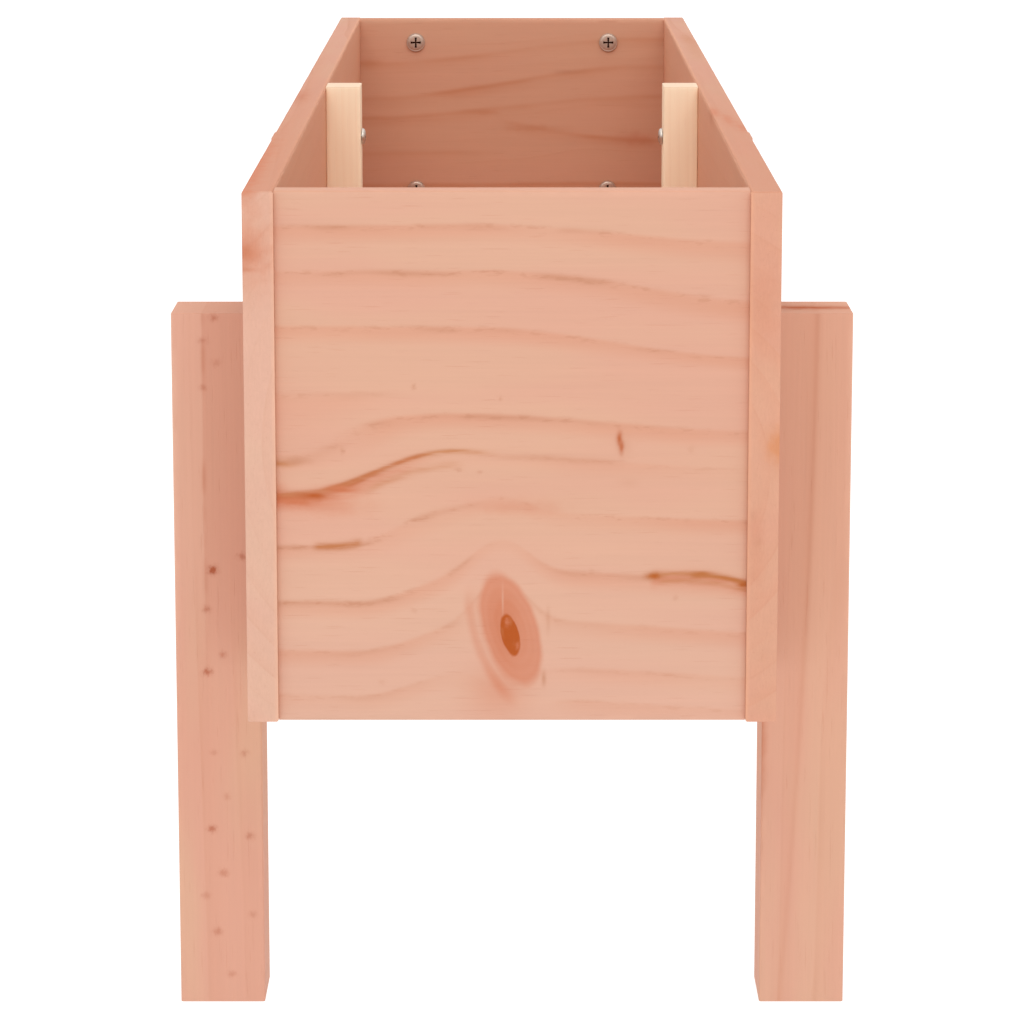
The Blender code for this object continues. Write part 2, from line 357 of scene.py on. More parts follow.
def finish_timber(place, colour, relief):
    """Adds what all timber has: fibres, pores, tone, rubbed edges, end grain and the shader."""
    fibre = place.noise((16.0, 800.0, 800.0), 3.0, 0.6, 2.0)
    grain = place.noise((9.0, 260.0, 260.0), seed=19.0)
    pores = place.noise((60.0, 1500.0, 1500.0), 1.0, 0.5, 6.0).smooth(0.66, 0.78)
    tone = place.noise((6.0, 16.0, 16.0), seed=12.0)
    edge, end = place.attribute("edge"), place.attribute("end")
    rubbed = place.noise((60.0, 60.0, 60.0), 3.0, 0.6, 8.0).smooth(0.35, 0.75) * edge
    saw = place.noise((1200.0, 240.0, 1200.0), 2.0, 0.6, 3.0)
    colour = place.blend(pores * 0.12, colour, RUST)
    shade = (fibre - 0.5) * 0.055 + (grain - 0.5) * 0.05 + (tone - 0.5) * 0.06 + rubbed * 0.05
    shade = shade + (saw - 0.5) * end * 0.10 + 1.0
    roughness = (fibre - 0.5) * 0.16 + end * 0.08 - relief * 0.05 + 0.66
    height = fibre * 0.5 - pores * 0.5 + relief + saw * end
    shader = shade_surface(place, colour, shade, roughness, height, 0.30, 0.00030)
    shader.inputs["Specular IOR Level"].default_value = 0.20


def new_material(name):
    material = bpy.data.materials.new(name)
    material.use_nodes = True
    return material


def timber_material(name, axes, centre, look):
    """Planed softwood with growth rings in all three directions, and a piece's own knots and marks."""
    material = new_material(name)
    place = Place(material.node_tree, axes, centre)
    knots = look.get("knots", ())
    level = round_knots(place, knots) + place.along * look.get("rise", 0.0)
    tail, line = ring_wood(place, level, look)
    colour = base_colour(place, look["colours"], look["seed"])
    colour = lined(place, colour, look["colours"], tail, line, look["contrast"])
    relief = line * 0.4
    if "paint" in look:
        colour = look["paint"](place, colour)
    colour = place.blend(place.attribute("end") * 0.65, colour, look["end_tint"])
    if knots:
        colour, more = knotted(place, knots, colour)
        relief = relief + more
    if "streaks" in look:
        colour, more = streaked(place, level, look["streaks"], colour)
        relief = relief + more
    if "marks" in look:
        colour, more = marked(place, look["marks"], colour)
        relief = relief + more
    finish_timber(place, colour, relief)
    return material


# Bands of the end boards. A level is a height above the board's centre on the left, a rise is how much
# higher the band runs on the right, and start and end are where it begins and fades out.
Band = namedtuple("Band", "level strength rise start end", defaults=(0.0, -0.2, 0.3))
FRONT_BANDS = (
    Band(0.0975, 0.85),
    Band(0.0786, 0.95),
    Band(0.0552, 0.80),
    Band(0.0272, 0.60, end=-0.040),
    Band(0.0178, 0.40, start=-0.120, end=-0.040),
    Band(0.0178, 0.85, start=-0.070),
    Band(0.0010, 0.38),
    Band(-0.0233, 0.85),
    Band(-0.0480, 0.75),
    Band(-0.0690, 0.60),
    Band(-0.0885, 0.40),
    Band(-0.1030, 0.45, start=0.010),
)
FRONT_STREAKS = (
    Streak(-0.135, -0.030, -0.0014, 0.0036, HALO, 0.65),
    Streak(-0.160, -0.060, 0.0006, 0.0021, EMBER, 1.00),
    Streak(-0.150, -0.046, 0.0010, 0.0013, RUST, 0.95),
    Streak(-0.110, -0.002, 0.0019, 0.0011, AMBER, 1.00),
    Streak(-0.100, -0.030, 0.0019, 0.0010, RUST, 0.60),
    Streak(-0.064, -0.018, -0.0042, 0.0016, AMBER, 0.45),
    Streak(-0.012, 0.050, 0.0010, 0.0022, LINE, 0.25),
    Streak(-0.085, -0.0615, -0.0232, 0.0018, OCHRE, 0.85),
)
FRONT_RESIN = (
    Streak(0.0570, 0.130, -0.0508, 0.0032, HALO, 0.85, 0.05),
    Streak(0.0560, 0.150, -0.0489, 0.0010, AMBER, 0.90, 0.03),
    Streak(0.0740, 0.140, -0.0491, 0.0012, OCHRE, 0.95, 0.10),
    Streak(0.0600, 0.106, -0.0522, 0.0011, AMBER, 0.60, 0.10),
)
FRONT_RESIN_BOW = (0.0720, 6.0)  # where along the board it is highest, and how sharply it bends
FRONT_HALO = Knot(-0.0005, -0.0730, 0.0116, 0.0256, 17.0)
FRONT_CORE = Knot(-0.0008, -0.0755, 0.0038, 0.0093, 14.0)


def band_reach(place, band):
    """How strong a band is along the board: it sets in quickly and fades out slowly."""
    begins = place.along.smooth(band.start, band.start + 0.02)
    return begins * place.along.smooth(band.end, band.end - 0.04) * band.strength


def front_flow(place):
    """The near end board's level: lines rise from the left, arch over the knot and dip on the right."""
    along, across = place.along, place.across
    steep = across.smooth(-0.010, -0.060) * 0.022 - 0.088
    crest = across.smooth(-0.020, -0.050) * 0.012 - 0.022
    left = along.smooth(crest, steep) * across.smooth(0.028, -0.002)
    depth = across.smooth(-0.020, -0.045) * -0.0045 + 0.0180
    dip = ((across - 0.054) * 40.0).bell() * 0.0090 - ((across + 0.034) * 55.0).bell() * 0.0028 + 0.0060
    right = along.smooth(-0.015, 0.112) * dip
    lift = ((along + 0.048) * 24.0).bell() * ((across + 0.004) * 33.0).bell() * 0.0024
    swell = (across * -0.36).math("MAXIMUM", 0.0).math("MINIMUM", 0.018)
    turned = across.smooth(-0.066, -0.080) * -1.5 + 1.0
    arch = ((along + 0.0040) * (1 / 0.0140)).bell() * swell * turned
    return across + left * depth + right - arch - lift


def front_knot(place, colour):
    """(colour, relief) with the near end board's big knot and the grain that hugs its left side."""
    wobble = knot_wobble(place)
    mottle = place.noise((300.0, 160.0, 60.0), 1.0, 0.5, 15.4)
    reach = oval(place, *FRONT_HALO) + wobble * 0.09
    inner = oval(place, *FRONT_CORE) + wobble * 0.28
    halo, core = reach.smooth(1.08, 0.86), inner.smooth(1.08, 0.90)
    beside = place.along.smooth(0.004, -0.006) * place.across.smooth(-0.052, -0.066)
    arc = reach.smooth(1.62, 1.28) * beside
    arc_line = ((reach - 1.36) * 9.0).bell() * beside
    pale = ((reach - 1.13) * 17.0).bell() * beside
    foot = spot(place, Mark(-0.006, -0.100, 0.0, (0.013, 0.012, THROUGHOUT), HALO, 1.0))
    heat = inner.smooth(2.6, 1.1) * (place.along - place.across * 0.4).smooth(0.046, 0.020)
    rings = ((reach * 30.0).math("SINE") * 0.5 + 0.5) * halo
    colour = place.blend(arc * 0.36 + arc_line * 0.14 + foot * 0.46, colour, HALO)
    colour = place.blend(halo * 0.88, colour, HALO)
    colour = place.blend(rings * 0.10 + heat * 0.50, colour, EMBER)
    colour = place.blend(pale * 0.22, colour, PALE)
    check = Mark(-0.0039, -0.0605, 0.0, (0.0004, 0.0060, THROUGHOUT), PALE, 0.7)
    colour = place.blend(spot(place, check) * 0.42, colour, PALE)
    colour = place.blend(core * 0.95, colour, CORE)
    colour = place.blend(core * mottle.smooth(0.50, 0.75) * 0.22, colour, AMBER)
    return colour, halo * 0.6 - core * 1.8


# Marks on the near end board: x, height above the ground, half width and half height in millimetres,
# then colour and strength
FRONT_SPOTS = (
    (-76.0, 247.5, 15.0, 4.5, HALO, 0.50),
    (-99.0, 253.0, 3.5, 3.8, EMBER, 0.70),
    (-91.5, 249.1, 7.5, 2.0, EMBER, 1.00),
    (-83.5, 251.6, 6.0, 1.5, RUST, 1.00),
    (-83.0, 251.9, 3.4, 0.9, CORE, 0.70),
    (-71.5, 254.4, 6.0, 1.6, EMBER, 1.00),
    (-97.5, 265.4, 7.0, 1.5, AMBER, 1.00),
    (-90.0, 266.3, 7.0, 1.4, LINE, 0.70),
    (59.7, 217.4, 3.4, 1.6, OCHRE, 1.20),
    (59.7, 217.4, 2.1, 0.9, CORE, 0.55),
    (78.0, 217.8, 6.0, 1.4, OCHRE, 0.95),
    (97.2, 213.8, 2.6, 1.4, OCHRE, 1.10),
    (97.4, 213.7, 1.8, 0.8, CORE, 0.45),
    (13.4, 173.2, 0.9, 3.0, LINE, 0.75),
    (15.2, 199.0, 0.9, 5.0, LINE, 0.35),
    (-2.1, 197.4, 1.0, 1.6, EMBER, 0.90),
    (2.4, 187.4, 0.9, 1.3, EMBER, 0.80),
    (2.0, 247.0, 17.0, 3.4, HALO, 0.42),
    (46.5, 273.5, 3.5, 4.5, LINE, 0.25),
    (44.9, 276.0, 1.1, 2.7, RUST, 1.00),
    (45.8, 272.3, 1.0, 2.8, RUST, 0.90),
    (-41.0, 298.0, 0.9, 1.1, LINE, 0.60),
    (-4.8, 293.0, 0.7, 0.9, LINE, 0.45),
    (-70.9, 270.8, 0.9, 1.2, LINE, 0.60),
    (-22.7, 262.8, 1.6, 0.8, LINE, 0.50),
    (-13.5, 261.7, 1.2, 0.8, LINE, 0.40),
    (-41.2, 202.4, 1.4, 1.0, LINE, 0.25),
    (-54.8, 171.6, 1.6, 1.0, LINE, 0.25),
    (75.0, 271.6, 1.6, 1.6, LINE, 0.20),
    (69.0, 208.0, 1.2, 1.2, LINE, 0.28),
    (33.3, 219.6, 1.0, 0.9, LINE, 0.22),
    (73.4, 241.0, 1.6, 0.9, LINE, 0.25),
    (49.0, 257.0, 4.0, 2.0, LINE, 0.18),
)


def centre_and_half(node):
    """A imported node's centre, and half its size each way."""
    low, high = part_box(node)
    return (low + high) / 2, (high - low) / 2


def front_marks():
    centre, _ = centre_and_half("end_board_front")
    return [
        Mark(x / 1000, z / 1000 - centre.z, 0.0, (wide / 1000, tall / 1000, THROUGHOUT), colour, strength)
        for x, z, wide, tall, colour, strength in FRONT_SPOTS
    ]


def front_board_material(name, axes, centre):
    """The near end board, whose knot, streaks and bands are placed one by one."""
    material = new_material(name)
    place = Place(material.node_tree, axes, centre)
    waver = place.noise((10.0, 14.0, 9.0), seed=21.0) - 0.5
    level = front_flow(place) + waver * 0.0030
    broken = place.noise((17.0, 70.0, 20.0), 2.0, 0.55, 17.0)
    swell = place.noise((11.0, 30.0, 20.0), 1.0, 0.5, 27.0)
    tails, lines = [], []
    for band in FRONT_BANDS:
        below = level - band.level
        reach = band_reach(place, band)
        tails.append(below.smooth(0.0016, -0.0006) * below.smooth(-0.0090, -0.0015) * reach)
        lines.append(((below + 0.0004) * (1 / 0.0014)).bell() * reach)
    arch = ((place.along + 0.004) * (1 / 0.024)).bell() * place.across.smooth(-0.010, -0.030)
    tail = sum(tails) * (swell.smooth(0.25, 0.70) * 0.8 + 0.3) * (1.0 - arch * 0.55)
    specks = place.noise((150.0, 520.0, 60.0), 2.0, 0.6, 61.0).smooth(0.52, 0.66)
    line = sum(lines) * (broken.smooth(0.44, 0.62) * 0.80 + specks * 0.55 + 0.06) * (1.0 - arch * 0.75)
    colour = place.blend(0.5, base_colour(place, FIR, 3.0), BLUSH)
    foot = place.across.smooth(0.0, -0.10)
    colour = place.blend(foot * 0.45, colour, PALE)
    colour = board_paint(1, INNER_HEART_AND_BOUNCE, 0.42)(place, colour)
    colour = lined(place, colour, FIR, tail.math("MINIMUM", 1.0), line.math("MINIMUM", 1.0), 0.85)
    colour, knot_relief = front_knot(place, colour)
    colour, streak_relief = streaked(place, level, FRONT_STREAKS, colour)
    from_top = place.along - FRONT_RESIN_BOW[0]
    bowed = place.across + from_top * from_top * FRONT_RESIN_BOW[1]
    colour, resin_relief = streaked(place, bowed, FRONT_RESIN, colour)
    colour, mark_relief = marked(place, front_marks(), colour)
    relief = line * 0.3 + knot_relief + streak_relief + resin_relief + mark_relief
    finish_timber(place, colour, relief)
    return material


def metal_material(name, colour, roughness):
    """Zinc plating, faintly mottled and scuffed, in the colour given; the cross recesses get a near black
    one as painted shade.
    """
    material = new_material(name)
    place = Place(material.node_tree, "XYZ", (0.0, 0.0, 0.0))
    mottle = place.noise((700.0, 700.0, 700.0), 3.0, 0.6, 5.0)
    scuff = place.noise((2500.0, 2500.0, 2500.0), 2.0, 0.6, 7.0)
    shade = (mottle - 0.5) * 0.35 + 1.0
    worn = (mottle - 0.5) * 0.25 + (scuff - 0.5) * 0.15 + roughness
    shader = shade_surface(place, colour, shade, worn, scuff + mottle, 0.25, 0.00006)
    shader.inputs["Metallic"].default_value = 1.0
    return material


# ----- timber meshes


def section_ring(half_wide, half_thick, inset, rub):
    """One section as (across, through, is_edge), each corner rounded and rubbed by its own depth."""
    ring = []
    wide, thick = half_wide - inset, half_thick - inset
    reach = EDGE_RADIUS + SUPPORT
    for number, (across, through) in enumerate(((1, 1), (-1, 1), (-1, -1), (1, -1))):
        beside = (across * wide, through * (thick - reach), 0.0)
        above = (across * (wide - reach), through * thick, 0.0)
        supports = [beside, above]
        if number % 2:
            supports.reverse()
        ring.append(supports[0])
        for step in range(EDGE_STEPS + 1):
            turn = math.pi / 2 * (number + step / EDGE_STEPS)
            arm = EDGE_RADIUS - rub[number] * math.sin(math.pi * step / EDGE_STEPS)
            corner = (across * (wide - EDGE_RADIUS), through * (thick - EDGE_RADIUS))
            ring.append((corner[0] + arm * math.cos(turn), corner[1] + arm * math.sin(turn), 1.0))
        ring.append(supports[1])
    return ring


def edge_rub(along, number, seed):
    """How deep an edge is rubbed at a place along it: mostly light, with a few deeper patches."""
    place = Vector((along * WEAR_SCALE, number * 7.3, seed))
    light = 0.5 + 0.5 * noise.noise(place)
    deep = max(0.0, noise.noise(place * 2.3 + Vector((0, 0, 11.0))) - 0.25)
    return WEAR_SHARE * EDGE_RADIUS * min(1.0, 0.6 * light + 1.6 * deep)


def grain_stations(half_long, radius):
    """Sections along a timber as (along, inset, end), closer together round its rounded ends."""
    first = []
    for step in range(EDGE_STEPS + 1):
        turn = math.pi / 2 * (1 - step / EDGE_STEPS)
        along = radius * (1 - math.sin(turn)) - half_long
        first.append((along, radius * (1 - math.cos(turn)), float(step < EDGE_STEPS)))
    inner = half_long - radius - SUPPORT
    count = max(2, round(2 * inner / STATION))
    middle = [(inner * (2 * step / count - 1), 0.0, 0.0) for step in range(count + 1)]
    return first + middle + [(-along, inset, end) for along, inset, end in reversed(first)]


def bridge(form, first, second):
    """Joins two rings of vertices with a band of faces."""
    for item in range(len(first)):
        after = (item + 1) % len(first)
        form.faces.new((first[item], first[after], second[after], second[item]))


def timber_mesh(name, axes, low, high, end_radius, seed):
    """A block lofted along its grain, with rounded and slightly rubbed edges on all sides."""
    order = ["XYZ".index(axis) for axis in axes]
    centre = (low + high) / 2
    half = [(high[item] - low[item]) / 2 for item in order]
    form = bmesh.new()
    edge_layer = form.verts.layers.float.new("edge")
    end_layer = form.verts.layers.float.new("end")

    def add_ring(along, outline, end):
        ring = []
        for across, through, is_edge in outline:
            place = centre.copy()
            for item, offset in zip(order, (along, across, through)):
                place[item] += offset
            vert = form.verts.new(place)
            vert[edge_layer], vert[end_layer] = is_edge, end
            ring.append(vert)
        return ring

    stations = grain_stations(half[0], end_radius)
    rings = []
    for along, inset, end in stations:
        rub = [edge_rub(along, number, seed) for number in range(4)]
        outline = section_ring(half[1], half[2], inset, rub)
        if end:
            outline = [(across, through, 1.0) for across, through, _ in outline]
        rings.append(add_ring(along, outline, end))
    for first, second in zip(rings, rings[1:]):
        bridge(form, first, second)
    for ring, station in ((rings[0], stations[0]), (rings[-1], stations[-1])):
        outline = section_ring(half[1] - SUPPORT, half[2] - SUPPORT, end_radius, [0.0] * 4)
        cap = add_ring(station[0], [(across, through, 0.0) for across, through, _ in outline], 1.0)
        bridge(form, ring, cap)
        form.faces.new(cap)
    return to_mesh(name, form)


# ----- screws


def screw_kind(node):
    return node.split("_")[0]


def screw_heading(node):
    """The way a screw's point looks, from its kind and side."""
    kind, side = screw_kind(node), node.split("_")[-2]
    way = SIDE_WAY[side]
    if kind == "end":
        return Vector((0, way, 0))
    return Vector((-way if kind == "corner" else way, 0, 0))


def screw_place(node):
    """(placement, length, head radius): Z runs from the screw's point up to the top of its head."""
    low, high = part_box(node)
    heading = screw_heading(node)
    length = abs((high - low).dot(heading))
    top = (low + high) / 2 - heading * (length / 2)
    turn = (-heading).to_track_quat("Z", "Y").to_matrix().to_4x4()
    return Matrix.Translation(top) @ turn, length, (high.z - low.z) / 2


def lathe(form, profile, sides, place=Matrix()):
    """Adds a closed turned solid. The profile is (radius, height) from its foot up, ends on the axis.

    A radius may be a function of the turn, as a thread's is.
    """
    foot = form.verts.new(place @ Vector((0, 0, profile[0][1])))
    top = form.verts.new(place @ Vector((0, 0, profile[-1][1])))
    rings = []
    for radius, height in profile[1:-1]:
        turns = [2 * math.pi * side / sides for side in range(sides)]
        arms = [radius(turn) if callable(radius) else radius for turn in turns]
        spots = [(arm * math.cos(turn), arm * math.sin(turn), height) for arm, turn in zip(arms, turns)]
        rings.append([form.verts.new(place @ Vector(spot)) for spot in spots])
    for side in range(sides):
        after = (side + 1) % sides
        form.faces.new((foot, rings[0][after], rings[0][side]))
        form.faces.new((top, rings[-1][side], rings[-1][after]))
        for lower, upper in zip(rings, rings[1:]):
            form.faces.new((lower[side], lower[after], upper[after], upper[side]))


def head_outline(form, radius):
    """A head's outline from the shank up to the axis, with the top of the head at height 0."""
    depth = form.height
    if form.head == "sunk":
        return [(form.shank_radius, -depth), (radius - 0.0001, -0.0002), (radius, -0.0001),
                (radius - 0.0001, 0.0), (radius * 0.5, 0.0), (0.0, 0.0)]
    if form.head == "wafer":
        return [(form.shank_radius, -depth), (radius - 0.0001, -depth), (radius, -depth + 0.0001),
                (radius, -0.0005), (radius - 0.0001, -0.0003), (radius * 0.93, -0.00022),
                (radius * 0.89, -0.00030), (radius * 0.84, -0.00018), (radius * 0.70, -0.00006),
                (radius * 0.50, 0.0), (0.0, 0.0)]
    steps = 6
    dome = [(radius * math.cos(math.pi / 2 * step / steps), -depth + 0.0007 + (depth - 0.0007)
             * math.sin(math.pi / 2 * step / steps)) for step in range(1, steps)]
    return [(form.shank_radius, -depth), (radius, -depth), (radius, -depth + 0.0007)] + dome + [(0.0, 0.0)]


def thread_ring(height, shank_radius):
    """The radius round one ring of a threaded shank: a ridge that winds up the screw."""

    def radius(turn):
        phase = (height / THREAD_PITCH - turn / (2 * math.pi)) % 1.0
        ridge = max(0.0, 1.0 - abs(phase - 0.5) * 3.2)
        return shank_radius - THREAD_DEPTH * (1 - ridge)

    return radius


def screw_mesh(kind, length, radius, metal, dark):
    """A cross-recessed screw with a threaded shank, built along Z with the top of its head at 0."""
    form_of = SCREW_FORMS[kind]
    shank, neck = form_of.shank_radius, -form_of.height - form_of.bare
    tip = TIP_LENGTH - length
    count = max(2, round((neck - tip) / THREAD_PITCH * THREAD_STEPS))
    profile = [(0.0, -length), (shank * 0.45, -length + TIP_LENGTH * 0.45)]
    profile += [(thread_ring(height, shank), height)
                for height in (tip + (neck - tip) * step / count for step in range(count + 1))]
    profile += [(shank * 0.94, neck + 0.0002), (shank * 0.94, -form_of.height - 0.0001)]
    body = bmesh.new()
    sides = TURN_SIDES if kind in ("end", "batten") else SUNK_SIDES
    lathe(body, profile + head_outline(form_of, radius), sides)
    blank = new_piece("blank", to_mesh("screw_" + kind, body), metal)
    # The recess's faces take the cutter's material, which is painted shade
    cutter = new_piece("cross_cutter", cross_mesh(kind, radius), dark)
    mesh = cut_away(blank, cutter, "TRANSFER")
    mesh.name = "screw_" + kind
    mesh.shade_smooth()
    mesh.set_sharp_from_angle(angle=math.radians(35))
    bpy.data.objects.remove(blank)
    return mesh


def cross_mesh(kind, radius):
    """The solid of a cross recess: a plus with tapering arms."""
    reach = radius * (0.56 if kind == "end" else 0.58)
    half = max(0.00046, reach * 0.22)
    depth = 0.0021
    levels = ((0.0006, 1.05), (0.0, 1.0), (-depth * 0.6, 0.66), (-depth, 0.30))
    form = bmesh.new()
    rings = []
    for height, scale in levels:
        width = half * (0.75 + 0.25 * scale)
        arm = max(reach * scale, width * 1.3)
        inner = width * 0.62
        corners = ((arm, -width), (arm, width), (inner, inner))
        quarter = [Vector((*corner, height)) for corner in corners]
        turns = [Matrix.Rotation(math.pi / 2 * turn, 3, "Z") for turn in range(4)]
        rings.append([form.verts.new(turn @ spot) for turn in turns for spot in quarter])
    for upper, lower in zip(rings, rings[1:]):
        bridge(form, lower, upper)
    form.faces.new(rings[0])
    form.faces.new(list(reversed(rings[-1])))
    return to_mesh("cross", form)


def add_object(name, data):
    item = bpy.data.objects.new(name, data)
    bpy.context.scene.collection.objects.link(item)
    return item


def to_mesh(name, form, closed=True):
    if closed:
        bmesh.ops.recalc_face_normals(form, faces=form.faces)
    mesh = bpy.data.meshes.new(name)
    form.to_mesh(mesh)
    form.free()
    return mesh


def new_piece(name, mesh, material):
    piece = add_object(name, mesh)
    if material and not mesh.materials:
        mesh.materials.append(material)
    return piece


def cut_away(piece, cutter, material_mode="INDEX"):
    """The piece's mesh with the cutter's solid taken out of it."""
    cut = piece.modifiers.new("cut", "BOOLEAN")
    cut.operation, cut.solver, cut.object = "DIFFERENCE", "EXACT", cutter
    cut.material_mode = material_mode
    view = bpy.context.evaluated_depsgraph_get()
    mesh = bpy.data.meshes.new_from_object(piece.evaluated_get(view), depsgraph=view)
    piece.modifiers.clear()
    bpy.data.objects.remove(cutter)
    return mesh


def hole_profile(node, length):
    """A screw's clearance hole, with the top of its head at height 0."""
    form = SCREW_FORMS[screw_kind(node)]
    radius = screw_place(node)[2]
    shank = form.shank_radius + FIT
    foot = [(0.0, -length - FIT), (shank, -length - FIT)]
    if form.head == "sunk":
        mouth = radius + FIT
        return foot + [(shank, -form.height), (mouth, 0.0), (mouth, OVERCUT), (0.0, OVERCUT)]
    return foot + [(shank, OVERCUT), (0.0, OVERCUT)]


def drill(piece, low, high, screws):
    """Cuts a timber's holes for every screw whose box meets its own."""
    form = bmesh.new()
    for node in screws:
        start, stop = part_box(node)
        if all(start[axis] < high[axis] - FIT and stop[axis] > low[axis] + FIT for axis in range(3)):
            place, length, _ = screw_place(node)
            lathe(form, hole_profile(node, length), SHANK_SIDES, place)
    if form.verts:
        piece.data = cut_away(piece, new_piece("holes", to_mesh("holes", form), None))
    else:
        form.free()
    piece.data.shade_smooth()
    piece.data.set_sharp_from_angle(angle=math.radians(32))


# ----- the pieces

LOOKS = {
    "side_board": dict(colours=FIR, pith=(0.02, 0.075), slope=0.03, spacing=0.0105, wander=0.006),
    "end_board": dict(colours=FIR, pith=(-0.03, 0.10), slope=0.05, spacing=0.0105, wander=0.004),
    "leg": dict(colours=LEG_FIR, pith=(0.045, 0.050), slope=0.02, spacing=0.0085, wander=0.003),
    "middle_batten": dict(colours=PINE, pith=(0.03, 0.05), slope=0.01, spacing=0.0036, wander=0.0015),
    "floor_bearer": dict(colours=PINE, pith=(0.03, 0.04), slope=0.01, spacing=0.0036, wander=0.0015),
    "floor_slat": dict(colours=FIR, pith=(0.01, 0.06), slope=0.06, spacing=0.0095, wander=0.004),
}
GRAIN_AXES = {
    "side_board": "YZX",
    "end_board": "XZY",
    "leg": "ZXY",
    "middle_batten": "ZYX",
    "floor_bearer": "YXZ",
    "floor_slat": "XYZ",
}


def board_paint(inner, lining, rim):
    """The paint of a box board: a richer, redder tone on the inner face, partly heartwood and partly
    painted warm bounce light from inside the box, and a top edge that is deeper near by.
    """

    def paint(place, colour):
        # Partly heartwood, partly painted bounce light: the inner face gets the redder tone that light
        # bounced round inside the box gives it
        inward_bounce = (place.through * inner).smooth(0.0045, 0.0062)
        colour = place.blend(inward_bounce * 0.75, colour, lining)
        near = place.along.smooth(0.45, -0.45) * 0.55 + 0.45
        top = place.across.smooth(*RIM_LEVELS)
        return place.blend(top * near * rim, colour, RIM)

    return paint


BACK_BANDS = (
    Band(0.0840, 0.60, 0.0155),
    Band(0.0612, 0.95, 0.0200),
    Band(0.0485, 0.60, 0.0135),
    Band(0.0560, 1.00, -0.0215, start=-0.013),
    Band(0.0250, 0.35, 0.0020, end=0.0),
    Band(0.0043, 0.85, 0.0010),
    Band(-0.0250, 0.60, 0.0060),
    Band(-0.0530, 0.80, 0.0090),
    Band(-0.0860, 0.60, 0.0070),
)


def back_paint(place, colour):
    """The far end board: broad soft bands, most of which climb to the right."""
    colour = board_paint(-1, INNER_HEART_AND_BOUNCE, 0.8)(place, colour)
    waver = (place.noise((12.0, 16.0, 9.0), seed=41.0) - 0.5) * 0.0035
    broken = place.noise((16.0, 60.0, 20.0), 2.0, 0.55, 43.0).smooth(0.34, 0.62) * 0.65 + 0.35
    climb = place.along.smooth(-0.085, 0.080)
    shares = []
    for band in BACK_BANDS:
        below = place.across + waver - climb * band.rise - band.level
        soft = below.smooth(0.0026, -0.0006) * below.smooth(-0.0090, -0.0012)
        line = (below * (1 / 0.0016)).bell()
        shares.append((soft * 0.50 + line * 0.55) * band_reach(place, band))
    return place.blend((sum(shares) * broken).math("MINIMUM", 1.0), colour, TAWNY)


def left_leg_paint(place, colour):
    """The near left leg: its upper part lightened as painted light against the box's shade, and a darker
    heart on the box's side that ends in a sharp line and fades downwards; that fading, strong beside the
    box and faint below it, is painted shade.
    """
    upper = place.along.smooth(-0.020, 0.060)
    # Painted light: the upper part, beside the box, is lightened against the box's shade
    colour = place.blend(upper * 0.7, colour, LEFT_LEG_PAINTED_LIGHT)
    drift = place.noise((9.0, 1.0, 1.0), 1.0, 0.5, 51.0) - 0.5
    side = place.across + drift * 0.0012
    # Heartwood with painted shade: the strip's sharp edge is the wood's, and its darkening beside the box,
    # fading below it, is painted shade
    heart_and_shade = side.smooth(-0.0061, -0.0051) * (upper * 0.8 + 0.1)
    colour = place.blend(heart_and_shade * 0.46, colour, HEART)
    edge = ((side + 0.0052) * (1 / 0.0011)).bell()
    patches = place.noise((26.0, 5.0, 5.0), 2.0, 0.6, 53.0).smooth(0.46, 0.62)
    low = place.along.smooth(-0.010, 0.010)
    return place.blend(edge * patches * low * 0.30, colour, RUST)


def right_leg_paint(place, colour):
    """The near right leg: its upper part lightened as painted light against the box's shade, a rosier outer
    side against a side by the box that is darker above, partly heartwood and partly painted shade, and one
    darker line of grain that drifts inwards below.
    """
    line_place = place.along * place.along * -0.10 + place.along * 0.042 - 0.0008
    near = place.across - line_place
    upper = place.along.smooth(-0.090, 0.070)
    # Painted light: the upper part, beside the box, is lightened against the box's shade
    colour = place.blend(upper * 0.7, colour, RIGHT_LEG_PAINTED_LIGHT)
    # Partly heartwood, partly painted shade: the side by the box is darkened in the upper part, beside the
    # box
    colour = place.blend(near.smooth(0.003, -0.003) * upper * 0.11, colour, HEART)
    line = (near * (1 / 0.0013)).bell() + ((near + 0.0016) * (1 / 0.0030)).bell() * 0.4
    return place.blend(line * (upper * 0.08 + 0.10), colour, RUST)


# Pin knots on the near left leg's near face: x and height above the ground in millimetres, size, strength
LEG_PINS = (
    (-131, 313, 1.3, 0.55),
    (-136, 303, 1.2, 0.45),
    (-130, 293, 1.4, 0.25),
    (-136, 282, 1.1, 0.40),
    (-133, 200, 1.5, 1.30),
    (-120, 206, 1.3, 0.60),
    (-136, 182, 1.3, 0.60),
    (-129, 161.5, 1.2, 0.50),
    (-136, 153.5, 1.4, 0.80),
    (-133.5, 116.5, 1.1, 0.25),
    (-120, 116, 1.2, 0.45),
    (-128, 96, 1.2, 0.25),
    (-135, 81, 1.3, 0.70),
    (-118, 77.6, 1.4, 0.50),
    (-130, 60.5, 1.4, 0.45),
    (-138, 50, 1.3, 0.35),
    (-117, 41, 1.3, 0.30),
    (-133, 33, 1.4, 0.45),
    (-127, 13, 1.3, 0.35),
)


def leg_pins():
    centre, half = centre_and_half("leg_front_left")
    return [
        Mark(z / 1000 - centre.z, x / 1000 - centre.x, -half.y,
             (size * 1.1e-3, size * 1.3e-3, 0.004), PIN, strength)
        for x, z, size, strength in LEG_PINS
    ]


_, SIDE_HALF = centre_and_half("side_board_left")
_, END_HALF = centre_and_half("end_board_back")


def end_mark(across, through, tall, wide, colour, strength):
    """A mark on a side board's near end that runs a little way into the board."""
    return Mark(-SIDE_HALF.y, across, through, (0.03, tall, wide), colour, strength)


